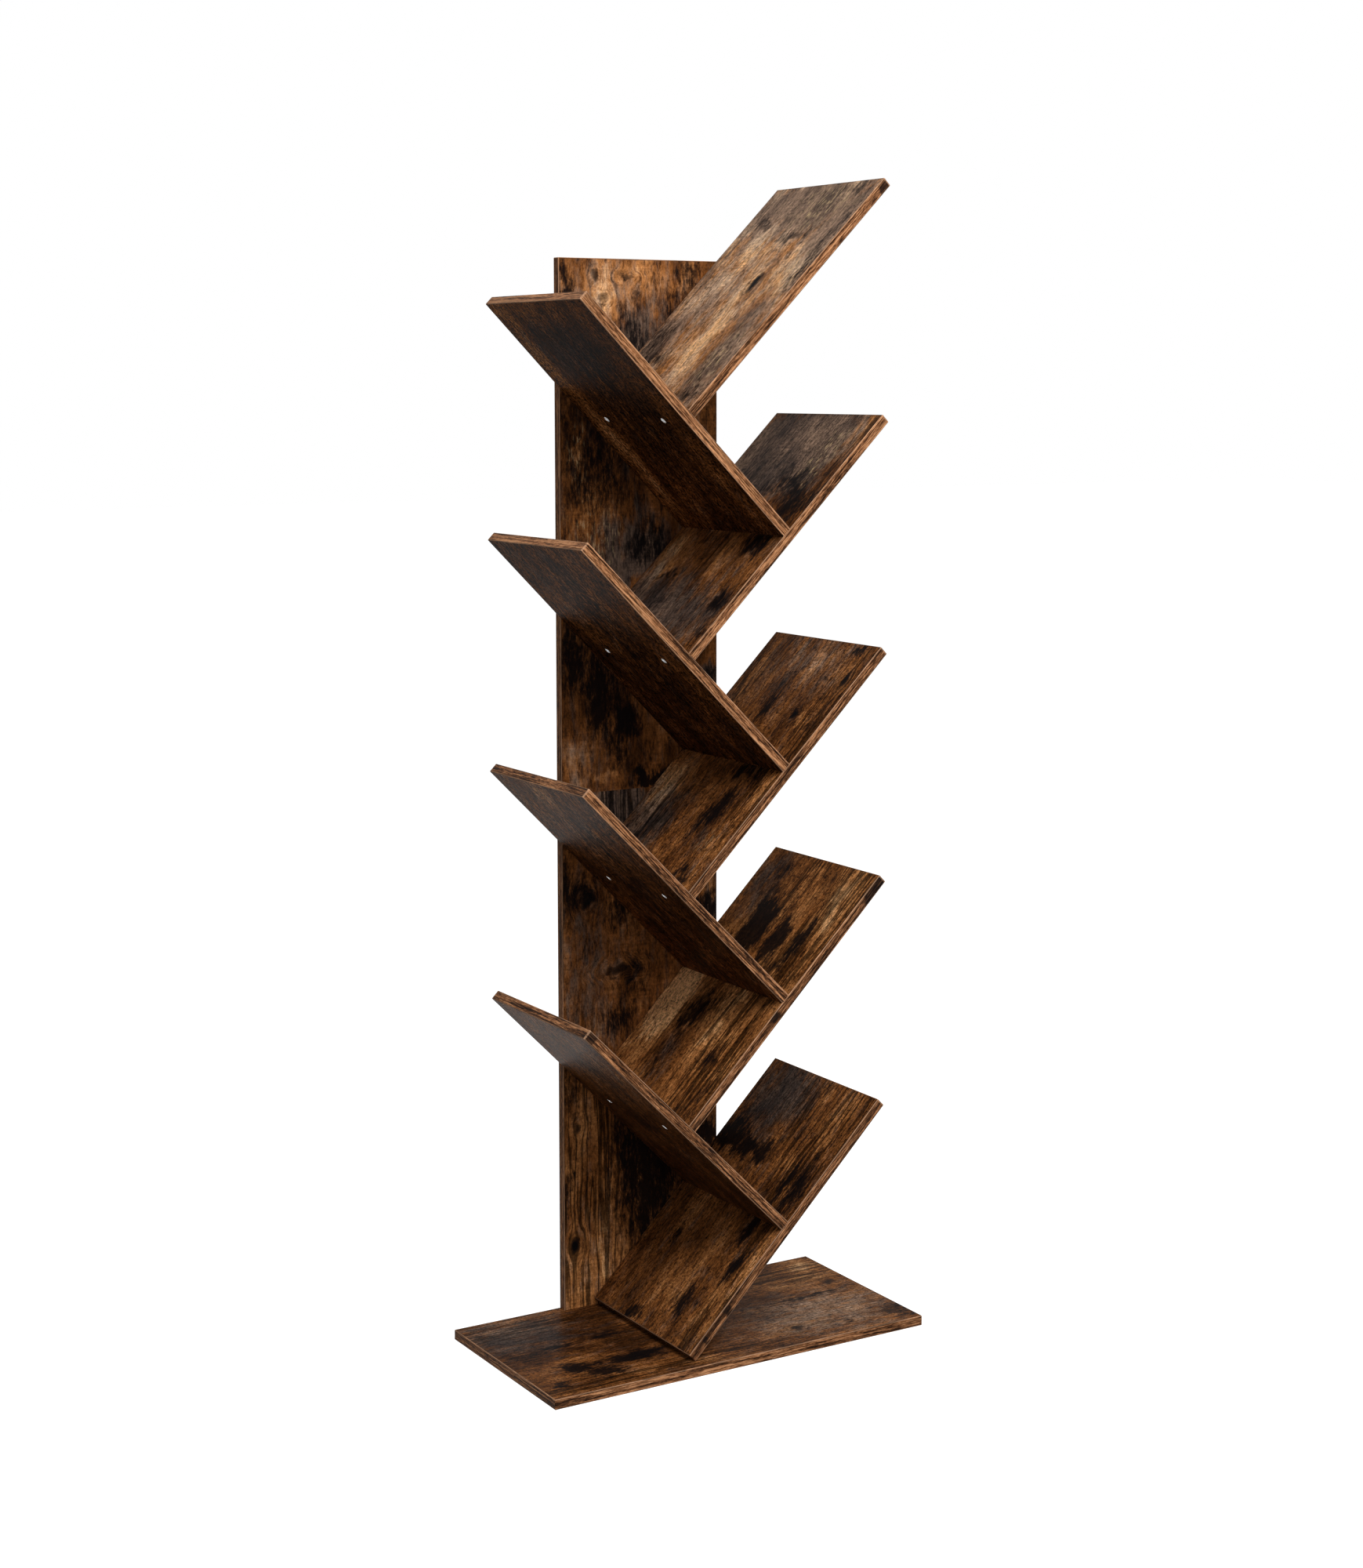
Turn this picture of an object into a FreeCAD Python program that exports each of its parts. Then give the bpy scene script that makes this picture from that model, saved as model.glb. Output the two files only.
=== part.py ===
import FreeCAD, Part
import math
import os

# A free-standing bookcase in the form of a tree.
# Nine like shelves lean left and right by turns. Each one stands on the shelf below it,
# and all of them are screwed from behind to an upright panel on a base board.
# X runs to the right, Y to the wall and Z up. The origin is the middle of the base's underside.
# Lengths are in millimetres and angles in degrees.

# base board
base_width = 500.0
base_depth = 250.0
base_thickness = 12.0

# upright panel, made of two like halves that stand one on the other
panel_width = 216.0
panel_thickness = 12.0

# how far the panel stands up above the foot of the highest shelf
panel_rise = 174.0

# shelves, all cut to one size
shelf_length = 370.0
shelf_depth = 222.0
shelf_thickness = 12.0
shelf_lean = 45.0
right_shelf_count = 5

# distance along a right shelf from its lower end to the upper face of the shelf that it carries
shelf_step = 190.0

# edge bands glued to the cut edges, and the chamfer scraped along them
band_thickness = 1.0
edge_chamfer = 0.6

# countersunk screw with a cross recess, the same one in every joint
screw_length = 40.0
screw_diameter = 4.0
screw_point = 4.0
screw_tip_share = 0.2
head_diameter = 8.0
head_rim = 0.5
head_sink = 0.3
screw_clearance = 0.1
hole_spare = 1.0

# cross recess in the screw head
recess_span = 4.6
recess_slot = 1.1
recess_depth = 1.8
recess_bottom_share = 0.45

# where the screws stand
joint_screw_spacing = 128.0
panel_screw_first = 35.0
panel_screw_spacing = 160.0
foot_spacing = 80.0
foot_screw_count = 3

# wooden dowels that set the panel on the base, and its upper half on its lower half
dowel_diameter = 6.0
dowel_length = 26.0
dowel_in_base = 8.0
dowel_chamfer = 0.8
dowel_clearance = 0.1
joint_dowel_count = 3

# Screws, dowels and their holes have so many sides about their axis, which keeps the part light.
round_sides = 12

# how far a cutting shape runs past the face it cuts
overrun = 5.0

# directions in the X-Z plane
along_x = math.cos(math.radians(shelf_lean))
along_z = math.sin(math.radians(shelf_lean))
Y_AXIS = FreeCAD.Vector(0, 1, 0)
Z_AXIS = FreeCAD.Vector(0, 0, 1)

# A left shelf carries the next right shelf so far up that the tiers stand plumb above each other.
left_step = shelf_step * along_x / along_z
tier_height = shelf_step * along_z + left_step * along_x

# The lowest shelf rests on the base with the lower edge of its foot.
# Its place along X brings the tips of the left and right shelves equally far from the middle.
foot_x = -(shelf_length * (along_x - along_z) + shelf_step * along_x) / 2
foot_z = base_thickness + shelf_thickness * along_x

back_face = base_depth / 2
panel_front = back_face - panel_thickness
shelf_middle = panel_front - shelf_depth / 2
shelf_count = 2 * right_shelf_count - 1

top_foot_z = foot_z + (right_shelf_count - 1) * tier_height
panel_half_length = (top_foot_z + panel_rise - base_thickness) / 2
panel_joint_z = base_thickness + panel_half_length


def block(x_low, x_high, y_low, y_high, z_low, z_high):
    corner = FreeCAD.Vector(x_low, y_low, z_low)
    return Part.makeBox(x_high - x_low, y_high - y_low, z_high - z_low, corner)


def banded_board(length, width, thickness, foot_banded, head_banded):
    """The core and then the bands of a board that lies along X from 0, upper face at z = 0."""
    foot = 0 if foot_banded else -overrun
    head = length if head_banded else length + overrun
    core_foot = band_thickness if foot_banded else 0
    core_head = length - band_thickness if head_banded else length
    side = width / 2
    core_side = side - band_thickness

    whole = block(foot, head, -side, side, -thickness, 0)
    whole = whole.makeChamfer(edge_chamfer, whole.Edges)

    def part_of_board(x_low, x_high, y_low, y_high):
        return whole.common(block(x_low, x_high, y_low, y_high, -thickness, 0))

    pieces = [
        part_of_board(core_foot, core_head, -core_side, core_side),
        part_of_board(0, length, -side, -core_side),
        part_of_board(0, length, core_side, side),
    ]
    if foot_banded:
        pieces.append(part_of_board(0, core_foot, -core_side, core_side))
    if head_banded:
        pieces.append(part_of_board(core_head, length, -core_side, core_side))
    return pieces


def flat_face(points):
    return Part.Face(Part.makePolygon(points + points[:1]))


def stacked(outlines):
    """A body with flat faces through outlines that lie above each other.

    Each outline is a height and its corners as x and y, anticlockwise from above.
    """
    rings = [[FreeCAD.Vector(x, y, height) for x, y in corners] for height, corners in outlines]
    faces = [flat_face(rings[0][::-1]), flat_face(rings[-1])]
    for lower, upper in zip(rings, rings[1:]):
        for corner in range(len(lower)):
            before = corner - 1
            faces.append(flat_face([lower[before], lower[corner], upper[corner], upper[before]]))
    shell = Part.makeShell(faces)
    shell.sewShape()
    return Part.makeSolid(shell)


def round_body(profile):
    """A body about Z, given by its height and radius at each step from the bottom up."""
    angles = [2 * math.pi * side / round_sides for side in range(round_sides)]
    outlines = []
    for height, radius in profile:
        corners = [(radius * math.cos(angle), radius * math.sin(angle)) for angle in angles]
        outlines.append((height, corners))
    return stacked(outlines)


def cross_recess():
    """The tapered cross that a screwdriver fits, sunk into the head from z = 0."""
    tip = recess_span / 2
    arm = recess_slot / 2
    quarter = [(tip, -arm), (tip, arm), (arm, arm)]
    corners = []
    for turn in range(4):
        corners += quarter
        quarter = [(-y, x) for x, y in quarter]
    bottom = [(x * recess_bottom_share, y * recess_bottom_share) for x, y in corners]
    return stacked([(0, corners), (recess_depth, bottom)])


def screw():
    """A screw whose head lies at z = 0 and whose point is up."""
    head = head_diameter / 2
    shank = screw_diameter / 2
    body = round_body([
        (0, head),
        (head_rim, head),
        (head_rim + head - shank, shank),
        (screw_length - screw_point, shank),
        (screw_length, shank * screw_tip_share),
    ])
    return body.cut(cross_recess())


def screw_hole():
    """The countersunk hole that one screw needs in both of the boards it joins."""
    head = head_diameter / 2 + screw_clearance
    shank = screw_diameter / 2 + screw_clearance
    return round_body([
        (-overrun, head),
        (head_rim, head),
        (head_rim + head - shank, shank),
        (screw_length + hole_spare, shank),
    ])


def dowel():
    """A dowel with chamfered ends, whose foot lies at z = 0."""
    radius = dowel_diameter / 2
    end_radius = radius - dowel_chamfer
    return round_body([
        (0, end_radius),
        (dowel_chamfer, radius),
        (dowel_length - dowel_chamfer, radius),
        (dowel_length, end_radius),
    ])


def dowel_hole():
    """The blind hole for one dowel, with a little room at both of its ends."""
    radius = dowel_diameter / 2 + dowel_clearance
    return round_body([(-hole_spare, radius), (dowel_length + hole_spare, radius)])


def placed(shape, place):
    copy = shape.copy()
    copy.Placement = place.multiply(copy.Placement)
    return copy


def bored_board(pieces, place, screw_places, dowel_places=()):
    """A board's pieces in their place, with a hole for every screw and dowel that reaches them."""
    cutters = [placed(screw_hole(), spot) for spot in screw_places]
    cutters += [placed(dowel_hole(), spot) for spot in dowel_places]
    return [placed(piece, place).cut(cutters) for piece in pieces]


def is_right(rank):
    return rank % 2 == 0


def seat(rank):
    """The frame of a shelf, counted from 0 at the bottom.

    Its origin is the middle of the upper edge of the shelf's foot, and its Z is square to the
    upper face. Its X runs up a right shelf, and down a left one.
    """
    tier = rank // 2
    x, z, turn = foot_x, foot_z + tier * tier_height, -shelf_lean
    if not is_right(rank):
        x, z, turn = x + shelf_step * along_x, z + shelf_step * along_z, turn + 90
    return FreeCAD.Placement(FreeCAD.Vector(x, shelf_middle, z), FreeCAD.Rotation(Y_AXIS, turn))


def up_shelf(rank, distance):
    """The X in a shelf's frame that lies so far up from its foot."""
    return distance if is_right(rank) else -distance


def joint_screw_places(rank):
    """Two screws from under a shelf into the foot of the shelf that stands on it."""
    step = shelf_step if is_right(rank) else left_step
    x = up_shelf(rank, step - shelf_thickness / 2)
    z = head_sink - shelf_thickness
    places = []
    for y in (-joint_screw_spacing / 2, joint_screw_spacing / 2):
        spot = FreeCAD.Placement(FreeCAD.Vector(x, y, z), FreeCAD.Rotation())
        places.append(seat(rank).multiply(spot))
    return places


def panel_screw_places(rank):
    """Two screws from behind the panel into the back edge of a shelf."""
    forward = FreeCAD.Rotation(FreeCAD.Vector(1, 0, 0), 90)
    places = []
    for distance in (panel_screw_first, panel_screw_first + panel_screw_spacing):
        edge = seat(rank).multVec(FreeCAD.Vector(up_shelf(rank, distance), 0, -shelf_thickness / 2))
        spot = FreeCAD.Vector(edge.x, back_face - head_sink, edge.z)
        places.append(FreeCAD.Placement(spot, forward))
    return places


def panel_row(count, height):
    """Upright places in a row within the panel's thickness, evenly spaced about its middle."""
    middle = back_face - panel_thickness / 2
    places = []
    for number in range(count):
        x = (number - (count - 1) / 2) * foot_spacing
        places.append(FreeCAD.Placement(FreeCAD.Vector(x, middle, height), FreeCAD.Rotation()))
    return places


def foot_screw_places():
    return panel_row(foot_screw_count, head_sink)


def foot_dowel_places():
    return panel_row(foot_screw_count - 1, base_thickness - dowel_in_base)


def joint_dowel_places():
    return panel_row(joint_dowel_count, panel_joint_z - dowel_length / 2)


def shelf(rank):
    """The core and bands of one shelf."""
    pieces = banded_board(shelf_length, shelf_depth, shelf_thickness, rank == 0, True)
    about = 0 if is_right(rank) else 180
    turn = FreeCAD.Placement(FreeCAD.Vector(0, 0, 0), FreeCAD.Rotation(Z_AXIS, about))
    screw_places = panel_screw_places(rank)
    if rank > 0:
        screw_places += joint_screw_places(rank - 1)
    if rank < shelf_count - 1:
        screw_places += joint_screw_places(rank)
    return bored_board(pieces, seat(rank).multiply(turn), screw_places)


def base():
    """The core and bands of the base board."""
    pieces = banded_board(base_width, base_depth, base_thickness, True, True)
    left_end = FreeCAD.Vector(-base_width / 2, 0, base_thickness)
    place = FreeCAD.Placement(left_end, FreeCAD.Rotation())
    return bored_board(pieces, place, foot_screw_places(), foot_dowel_places())


def panel_half(foot_height, head_banded):
    """The core and bands of one half of the upright panel."""
    pieces = banded_board(panel_half_length, panel_width, panel_thickness, False, head_banded)
    # this turn brings X to Z, Y to X and Z to Y
    upright = FreeCAD.Rotation(FreeCAD.Vector(1, 1, 1), -120)
    place = FreeCAD.Placement(FreeCAD.Vector(0, back_face, foot_height), upright)
    screw_places = foot_screw_places()
    for rank in range(shelf_count):
        screw_places += panel_screw_places(rank)
    return bored_board(pieces, place, screw_places, foot_dowel_places() + joint_dowel_places())


def save(name, solids):
    Part.makeCompound(solids).exportStep("parts/" + name + ".step")


def save_board(name, pieces):
    save(name, pieces[:1])
    save(name + "_edge_bands", pieces[1:])


def save_group(name, shape, places):
    save(name, [placed(shape, place) for place in places])


def main():
    os.makedirs("parts", exist_ok=True)
    save_board("base_board", base())
    save_board("lower_back_panel", panel_half(base_thickness, False))
    save_board("upper_back_panel", panel_half(panel_joint_z, True))
    left_screws = []
    right_screws = []
    panel_screws = []
    for rank in range(shelf_count):
        side = "right" if is_right(rank) else "left"
        save_board(side + "_shelf_" + str(rank // 2 + 1), shelf(rank))
        panel_screws += panel_screw_places(rank)
        if rank < shelf_count - 1:
            carried = right_screws if is_right(rank) else left_screws
            carried += joint_screw_places(rank)
    save_group("right_shelf_screws", screw(), right_screws)
    save_group("left_shelf_screws", screw(), left_screws)
    save_group("back_panel_screws", screw(), panel_screws)
    save_group("foot_screws", screw(), foot_screw_places())
    save_group("foot_dowels", dowel(), foot_dowel_places())
    save_group("panel_joint_dowels", dowel(), joint_dowel_places())


main()
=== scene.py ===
import math

import bpy
from mathutils import Matrix, Vector


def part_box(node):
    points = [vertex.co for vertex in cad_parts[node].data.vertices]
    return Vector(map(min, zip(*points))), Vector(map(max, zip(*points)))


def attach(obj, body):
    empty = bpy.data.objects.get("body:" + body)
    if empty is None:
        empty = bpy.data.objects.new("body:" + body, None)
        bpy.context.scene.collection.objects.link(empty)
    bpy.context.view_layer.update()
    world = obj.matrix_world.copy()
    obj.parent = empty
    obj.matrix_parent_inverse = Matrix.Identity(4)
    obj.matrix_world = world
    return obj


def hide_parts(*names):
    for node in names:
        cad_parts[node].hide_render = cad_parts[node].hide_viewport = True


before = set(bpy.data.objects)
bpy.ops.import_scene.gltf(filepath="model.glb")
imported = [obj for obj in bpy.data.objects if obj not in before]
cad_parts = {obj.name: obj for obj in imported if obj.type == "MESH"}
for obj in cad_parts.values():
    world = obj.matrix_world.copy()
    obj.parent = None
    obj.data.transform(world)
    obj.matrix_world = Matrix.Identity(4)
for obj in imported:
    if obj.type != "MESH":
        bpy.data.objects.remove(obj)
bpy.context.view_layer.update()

MM = 0.001
SLOPE = math.sqrt(0.5)

# Boards and wood screws as in the part's source, in millimetres

BOARD_THICKNESS = 12.0
BAND_THICKNESS = 1.0
BAND_CHAMFER = 0.6

SCREW_LENGTH = 40.0
SHANK_RADIUS = 1.95
ROOT_RADIUS = 1.45
HEAD_RADIUS = 3.9
HEAD_RIM = 0.5
HEAD_HEIGHT = 2.5
HEAD_SINK = 0.3
THREAD_START = 14.0
THREAD_PITCH = 1.8
THREAD_TURNS = 12
RECESS_SLOT = 1.1
RECESS_SPAN = 4.6
RECESS_DEPTH = 1.8
RECESS_BOTTOM_SHARE = 0.45
JOINT_SCREW_ALONG = 184.0
JOINT_SCREW_ACROSS = 64.0
PANEL_SCREWS_ALONG = (35.0, 195.0)
FOOT_SCREW_SPACING = 80.0

# The screws' finer forms, with lengths in millimetres

HEAD_SIDES = 32
RIM_ROUNDING = 0.15
# how far each step of the raised face rises, and how much of the last one it covers
FACE_STEPS = ((0.1, 0.88), (0.1, 0.8), (0.07, 0.7))
SHANK_STEP = 0.6
POINT_LENGTH = 4.0
POINT_RADIUS = 0.3
RIDGE_MIDDLE = 1.55
RIDGE_RADIUS = 0.42
RIDGE_STEPS_PER_TURN = 16
# the tool that cuts the recess sticks out of the head by this much
RECESS_OVERREACH = 0.5
SMOOTH_BELOW = math.radians(32)
TURN_FROM_SCREW_TO_SCREW = 2.4


# The boards' own axes

class Board:
    """A board's place, from the middle of its foot on the face that the photograph shows.

    Its axes run along its length, across it, and out of that face.
    """

    def __init__(self, node, seed):
        self.node = node
        self.seed = seed
        low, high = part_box(node)
        band_low, band_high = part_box(node + "_edge_bands")
        low = Vector(map(min, low, band_low))
        high = Vector(map(max, high, band_high))
        middle = (low + high) / 2
        reach = BOARD_THICKNESS * MM * SLOPE
        if node == "base_board":
            self.origin = Vector((low.x, middle.y, high.z))
            self.axes = (Vector((1, 0, 0)), Vector((0, 1, 0)), Vector((0, 0, 1)))
            self.length = (high.x - low.x) / MM
            self.half_width = (high.y - low.y) / 2 / MM
        elif node.endswith("back_panel"):
            self.origin = Vector((middle.x, low.y, low.z))
            self.axes = (Vector((0, 0, 1)), Vector((-1, 0, 0)), Vector((0, -1, 0)))
            self.length = (high.z - low.z) / MM
            self.half_width = (high.x - low.x) / 2 / MM
        else:
            across = Vector((0, 1, 0))
            if node.startswith("right"):
                self.origin = Vector((low.x, middle.y, low.z + reach))
                self.axes = (Vector((SLOPE, 0, SLOPE)), across, Vector((-SLOPE, 0, SLOPE)))
            else:
                self.origin = Vector((high.x - reach, middle.y, low.z))
                self.axes = (Vector((-SLOPE, 0, SLOPE)), across, Vector((-SLOPE, 0, -SLOPE)))
            self.length = (high.z - low.z) / MM / SLOPE - BOARD_THICKNESS
            self.half_width = (high.y - low.y) / 2 / MM

    def turn(self):
        return Matrix(self.axes).transposed().to_euler()

    def spot(self, along, across, out):
        """The point of the scene at these millimetres along, across and out of the board."""
        steps = zip((along, across, out), self.axes)
        return self.origin + sum((axis * step * MM for step, axis in steps), Vector())


# Materials

def linear(red, green, blue):
    """A colour for a shader, from the levels 0 to 255 that a screen shows."""
    levels = []
    for level in (red, green, blue):
        share = level / 255
        levels.append(share / 12.92 if share <= 0.04045 else ((share + 0.055) / 1.055) ** 2.4)
    return (*levels, 1.0)


class Value:
    """A socket of a material, with arithmetic that adds the Math nodes for it."""

    def __init__(self, finish, socket):
        self.finish = finish
        self.socket = socket

    def math(self, operation, first, second):
        return self.finish.node("ShaderNodeMath", {"operation": operation}, {0: first, 1: second})

    def __add__(self, other):
        return self.math("ADD", self, other)

    def __radd__(self, other):
        return self.math("ADD", other, self)

    def __sub__(self, other):
        return self.math("SUBTRACT", self, other)

    def __rsub__(self, other):
        return self.math("SUBTRACT", other, self)

    def __mul__(self, other):
        return self.math("MULTIPLY", self, other)

    def __rmul__(self, other):
        return self.math("MULTIPLY", other, self)

    def __gt__(self, other):
        return self.math("GREATER_THAN", self, other)

    def __lt__(self, other):
        return self.math("LESS_THAN", self, other)

    def __abs__(self):
        return self.math("ABSOLUTE", self, 0)


class Finish:
    """The shader of one material or of the surroundings, built up node by node."""

    def __init__(self, owner):
        self.owner = owner
        owner.use_nodes = True
        self.tree = owner.node_tree
        self.tree.nodes.clear()

    def node(self, kind, settings=None, sockets=None, output=0):
        """Adds a node, sets it up, fills or links its sockets, and gives one of its outputs."""
        made = self.tree.nodes.new(kind)
        for name, setting in (settings or {}).items():
            if name == "stops":
                self.set_stops(made.color_ramp, setting)
            else:
                setattr(made, name, setting)
        for name, given in (sockets or {}).items():
            if isinstance(given, Value):
                self.tree.links.new(given.socket, made.inputs[name])
            else:
                made.inputs[name].default_value = given
        return Value(self, made.outputs[output]) if made.outputs else made

    def set_stops(self, ramp, stops):
        while len(ramp.elements) < len(stops):
            ramp.elements.new(1.0)
        for element, (position, colour) in zip(ramp.elements, stops):
            element.position = position
            element.color = colour

    def here(self):
        """The object coordinates of the point that is shaded."""
        return self.node("ShaderNodeTexCoord", output=3)

    def place(self, board):
        """A point's millimetres along, across and out of a board."""
        sockets = {
            "Vector": self.here(),
            "Location": board.origin,
            "Rotation": board.turn(),
            "Scale": (MM,) * 3,
        }
        return self.node("ShaderNodeMapping", {"vector_type": "TEXTURE"}, sockets)

    def split(self, point):
        first = self.node("ShaderNodeSeparateXYZ", None, {0: point})
        return [Value(self, output) for output in first.socket.node.outputs]

    def seen(self):
        """1 for a ray from the camera, and for one that is mirrored or bent by glass."""
        outputs = self.node("ShaderNodeLightPath").socket.node.outputs
        seen = Value(self, outputs["Is Camera Ray"])
        for name in ("Is Glossy Ray", "Is Transmission Ray"):
            seen = seen + Value(self, outputs[name])
        return seen

    def point(self, x, y, z):
        return self.node("ShaderNodeCombineXYZ", None, {0: x, 1: y, 2: z})

    def vector(self, operation, sockets, output=0):
        return self.node("ShaderNodeVectorMath", {"operation": operation}, sockets, output)

    def noise(self, point, detail, roughness=0.55, output=0):
        sockets = {"Vector": point, "Scale": 1.0, "Detail": detail, "Roughness": roughness}
        return self.node("ShaderNodeTexNoise", None, sockets, output)

    def layer(self, row, along, across, seed, drift=None, output=0):
        """The noise of a row in a table of layers, moved across the grain by the drift."""
        along_rate, across_rate, start, detail, roughness = row
        aside = across * across_rate
        if drift is not None:
            aside = aside + drift
        point = self.point(along * along_rate, aside, seed + start)
        return self.noise(point, detail, roughness, output)

    def rise(self, value, start, end, low=0.0, high=1.0):
        """Goes smoothly from low to high while the value goes from start to end."""
        sockets = {
            "Value": value, "From Min": start, "From Max": end, "To Min": low, "To Max": high,
        }
        return self.node("ShaderNodeMapRange", {"interpolation_type": "SMOOTHSTEP"}, sockets)

    def ramp(self, value, stops):
        """A colour out of a row of tones, by a value from 0 to 1."""
        return self.node("ShaderNodeValToRGB", {"stops": stops}, {0: value})

    def mix(self, share, first, second):
        """A colour that goes from the first to the second as the share goes from 0 to 1."""
        sockets = {0: share, 6: first, 7: second}
        return self.node("ShaderNodeMix", {"data_type": "RGBA"}, sockets, 2)

    def shaded(self, colour, factor):
        return self.vector("SCALE", {0: colour, 3: factor})

    def ragged(self, point, waver, reach):
        """A point moved to and fro by noise, which gives ragged rims to what is laid out on it."""
        moved = self.vector("MULTIPLY_ADD", {0: waver, 1: reach, 2: point})
        return self.vector("SUBTRACT", {0: moved, 1: tuple(side / 2 for side in reach)})

    def away(self, point, mark):
        """How far a point is from a mark's middle, 1 at the mark's rim."""
        along, across, half_length, half_width = mark[:4]
        sockets = {
            "Vector": point,
            "Location": (along, across, 0),
            "Scale": (half_length, half_width, 1),
        }
        inside = self.node("ShaderNodeMapping", {"vector_type": "TEXTURE"}, sockets)
        return self.vector("LENGTH", {0: inside}, 1)

    def marks(self, point, marks, start):
        """The start value with the strengths of soft marks on a print added to it."""
        total = start
        for mark in marks:
            strength = mark[4]
            total = total + self.rise(self.away(point, mark), 1.5, 0.2, 0.0, strength)
        return total

    def bump(self, height, strength, distance):
        sockets = {"Strength": strength, "Distance": distance, "Height": height}
        return self.node("ShaderNodeBump", None, sockets)

    def surface(self, settings):
        shader = self.node("ShaderNodeBsdfPrincipled", None, settings)
        self.node("ShaderNodeOutputMaterial", None, {"Surface": shader})
        return self.owner


WARM_TONES = [
    (0.0, linear(26, 14, 7)),
    (0.3, linear(74, 42, 19)),
    (0.55, linear(118, 72, 36)),
    (0.8, linear(164, 110, 64)),
    (1.0, linear(214, 164, 114)),
]
ASHEN_TONES = [
    (0.0, linear(26, 22, 23)),
    (0.3, linear(60, 49, 44)),
    (0.55, linear(94, 75, 63)),
    (0.8, linear(140, 113, 93)),
    (1.0, linear(186, 156, 128)),
]
BAND_TONES = [
    (0.0, linear(38, 24, 16)),
    (0.3, linear(86, 56, 36)),
    (0.6, linear(139, 92, 60)),
    (1.0, linear(190, 137, 96)),
]
ZINC_TONES = [(0.3, linear(222, 225, 228)), (0.7, linear(244, 245, 246))]
BEECH_TONES = [(0.35, linear(176, 132, 90)), (0.65, linear(214, 176, 130))]
# the dark of smoke and charring, which also paints shade on some boards
SOOT_AND_SHADE = linear(13, 11, 12)
SCUFF = linear(204, 174, 130)
CHIPBOARD = linear(176, 140, 98)
# the pale colour of a painted highlight along the bands' corners
EDGE_HIGHLIGHT = linear(190, 148, 116)
GLUE_LINE = linear(34, 20, 14)

# The faces that the photograph doesn't show have one common look, out of sight of the marks.
HIDDEN_SEED = 7.3
HIDDEN_TONE = 0.46
HIDDEN_CONTRAST = 1.2
HIDDEN_SMOKE = 0.75
OUT_OF_SIGHT = 5000.0

# The layers of noise in a print. Each row says how fast the noise changes along and across
# the grain, per millimetre, where it starts, and its detail and roughness.
FOIL_LAYERS = {
    "waver": (0.03, 0.06, 0.0, 4.0, 0.6),
    "cloud": (0.013, 0.03, 11.0, 2.0, 0.55),
    "blotch": (0.04, 0.09, 23.0, 5.0, 0.66),
    "streak": (0.022, 0.12, 37.0, 6.0, 0.72),
    "fibre": (0.1, 0.3, 51.0, 4.0, 0.8),
    "speck": (0.34, 0.4, 67.0, 3.0, 0.8),
    "drift": (0.007, 0.015, 83.0, 2.0, 0.5),
    "grain_line": (0.004, 0.11, 91.0, 2.0, 0.6),
    "dash": (0.09, 0.42, 101.0, 3.0, 0.6),
    "saw": (0.45, 0.02, 113.0, 2.0, 0.6),
}
BAND_LAYERS = {
    "waver": (0.02, 0.1, 0.0, 2.0, 0.55),
    "streak": (0.014, 0.45, 13.0, 4.0, 0.65),
    "fibre": (0.11, 0.8, 29.0, 3.0, 0.7),
    "patch": (0.02, 0.08, 41.0, 4.0, 0.6),
    "grain_line": (0.005, 0.3, 57.0, 2.0, 0.6),
}

# How far noise moves the rims of marks and knots, along and across, and the length over which
# a seam fades out, in millimetres
MARK_RAGGEDNESS = (70.0, 26.0, 0.0)
KNOT_RAGGEDNESS = (26.0, 16.0, 0.0)
SEAM_FADE = 30.0


def lay_knots(finish, point, across, knots):
    """The knots' dark cores, their rings, and the way across the grain as it bends round them."""
    cores, rings, bent = 0.0, 0.0, across
    for knot in knots:
        middle_across, strength = knot[1], knot[4]
        away = finish.away(point, knot)
        cores = cores + finish.rise(away, 1.2, 0.5, 0.0, strength)
        wave = finish.node("ShaderNodeMath", {"operation": "SINE"}, {0: away * 9.0}) * 0.5 + 0.5
        rings = rings + wave * finish.rise(away, 2.6, 0.9, 0.0, 0.8 * strength)
        bent = bent + (middle_across - across) * finish.rise(away, 3.6, 0.6, 0.0, 0.8)
    return cores, rings, bent


def lay_seams(finish, along, across, fibre, shown, seams):
    """The dark seams between planks, and how bright the planks beyond them are."""
    seam_lines, planks = 0.0, 1.0
    for seam_across, start, end, lift in seams:
        begun = finish.rise(along, start - SEAM_FADE, start)
        here = begun * finish.rise(along, end + SEAM_FADE, end) * shown
        beyond = across - seam_across + (fibre - 0.5) * 5.0
        planks = planks + finish.rise(beyond, -0.6, 0.6) * here * lift
        seam_lines = seam_lines + finish.rise(abs(beyond), 1.9, 0.5) * here * 0.6
    return seam_lines, planks


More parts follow.
